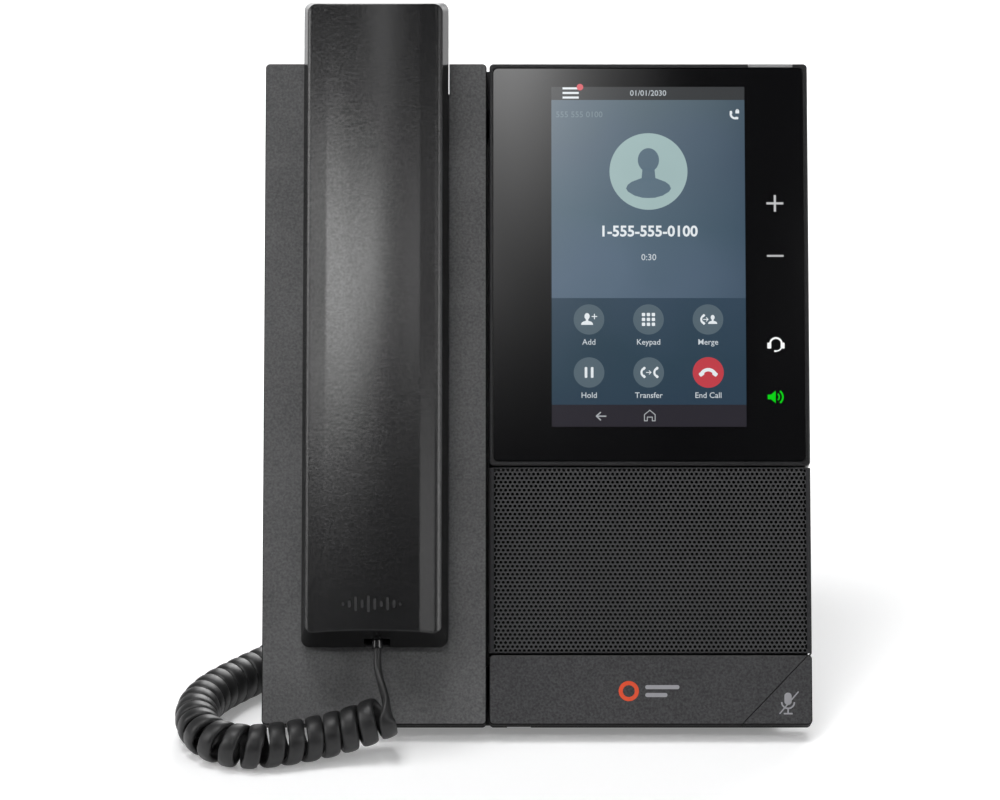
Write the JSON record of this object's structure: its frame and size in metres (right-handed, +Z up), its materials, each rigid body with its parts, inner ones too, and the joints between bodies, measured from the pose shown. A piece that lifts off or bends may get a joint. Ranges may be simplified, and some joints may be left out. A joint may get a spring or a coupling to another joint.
{
  "type": "desk ip phone",
  "caption": "Desk phone with a tall touch screen, a cradled handset on a curly cord, a perforated loudspeaker grille, a corner mute key and a fold-out stand.",
  "frame": {"origin": "centre of the phone's footprint box, on the desk surface, the free cord left out", "axes": "+X to the right of someone using the phone, +Y away from them, +Z up; the panel leans back 30 degrees from the vertical"},
  "size_m": [0.2018, 0.1551, 0.2131],
  "materials": {
    "cover_plastic": "fine leather-grain moulded ABS, dark grey",
    "frame_plastic": "smooth black frame with a satin edge",
    "handset_plastic": "fine-grained black moulding",
    "grille_metal": "perforated sheet, matt black-grey",
    "rear_plastic": "textured black moulding",
    "cover_glass": "polished cover glass, black printed border",
    "light_pipe": "frosted translucent light bar",
    "screen": "lit colour screen",
    "backlight": "white diffuser",
    "steel": "plated steel",
    "board": "green circuit board",
    "cloth": "black acoustic cloth",
    "component_black": "black moulded component",
    "cone_paper": "pressed paper cone",
    "magnet": "plated ferrite motor",
    "ribbon": "amber flexible circuit",
    "label": "blank silver label",
    "rubber": "soft black rubber",
    "cord": "flat jacketed cord, satin black",
    "plug_clear": "clear modular plug"
  },
  "bodies": {
    "root": {"cradle_cover": "cover_plastic", "display_frame": "frame_plastic", "message_light_pipe": "light_pipe", "cover_glass": "cover_glass", "lcd_panel": "screen", "backlight_unit": "backlight", "lcd_tray": "steel", "touch_key_board": "board", "touch_key_lights": "backlight", "speaker_grille": "grille_metal", "grille_cloth": "cloth", "chin_bar": "cover_plastic", "mute_switch": "component_black", "mute_board": "board", "base_microphone": "component_black", "speaker_frame": "steel", "speaker_cone": "cone_paper", "speaker_magnet": "magnet", "speaker_box": "rear_plastic", "rear_housing": "rear_plastic", "housing_screws": "steel", "rating_plate": "label", "main_board": "board", "shield_can": "steel", "processor": "component_black", "handset_jack": "component_black", "usb_port": "steel", "display_ribbon": "ribbon", "hook_switch": "component_black", "hook_guide": "rear_plastic", "stand_pins": "steel", "lan_jack": "component_black", "pc_jack": "component_black", "headset_jack": "component_black", "dc_jack": "component_black", "base_feet": "rubber", "base_plug": "plug_clear", "handset_cord_lead": "cord", "handset_cord_coil": "cord", "base_cord_lead": "cord"},
    "mute_key": {"mute_key": "cover_plastic"},
    "hook": {"hook_plunger": "rear_plastic"},
    "tab": {"retention_tab": "rear_plastic"},
    "stand": {"stand": "rear_plastic", "stand_pad": "rubber"},
    "handset": {"handset_front": "handset_plastic", "handset_back": "handset_plastic", "receiver_capsule": "component_black", "receiver_gasket": "rubber", "handset_microphone": "component_black", "handset_weight": "steel", "handset_cord_jack": "component_black", "handset_screws": "steel", "cord_plug_on_handset": "plug_clear"}
  },
  "joints": [
    {"name": "handset_lift", "type": "slide", "parent": "root", "child": "handset", "axis": [0, -0.866, 0.5], "range_m": [0, 0.12]},
    {"name": "hook_press", "type": "slide", "parent": "root", "child": "hook", "axis": [0, -0.866, 0.5], "range_m": [0, 0.0024]},
    {"name": "mute_press", "type": "slide", "parent": "root", "child": "mute_key", "axis": [0, 0.866, -0.5], "range_m": [0, 0.0008], "stiffness_N_per_m": 900},
    {"name": "tab_slide", "type": "slide", "parent": "root", "child": "tab", "axis": [0, 0.5, 0.866], "range_m": [0, 0.005]},
    {"name": "stand_fold", "type": "hinge", "parent": "root", "child": "stand", "pos_m": [0, 0.02877, 0.09092], "axis": [-1, 0, 0], "range_deg": [0, 47]}
  ],
  "couplings": [
    {"joint": "hook_press", "follows": "handset_lift", "ratio": 0.02}
  ]
}
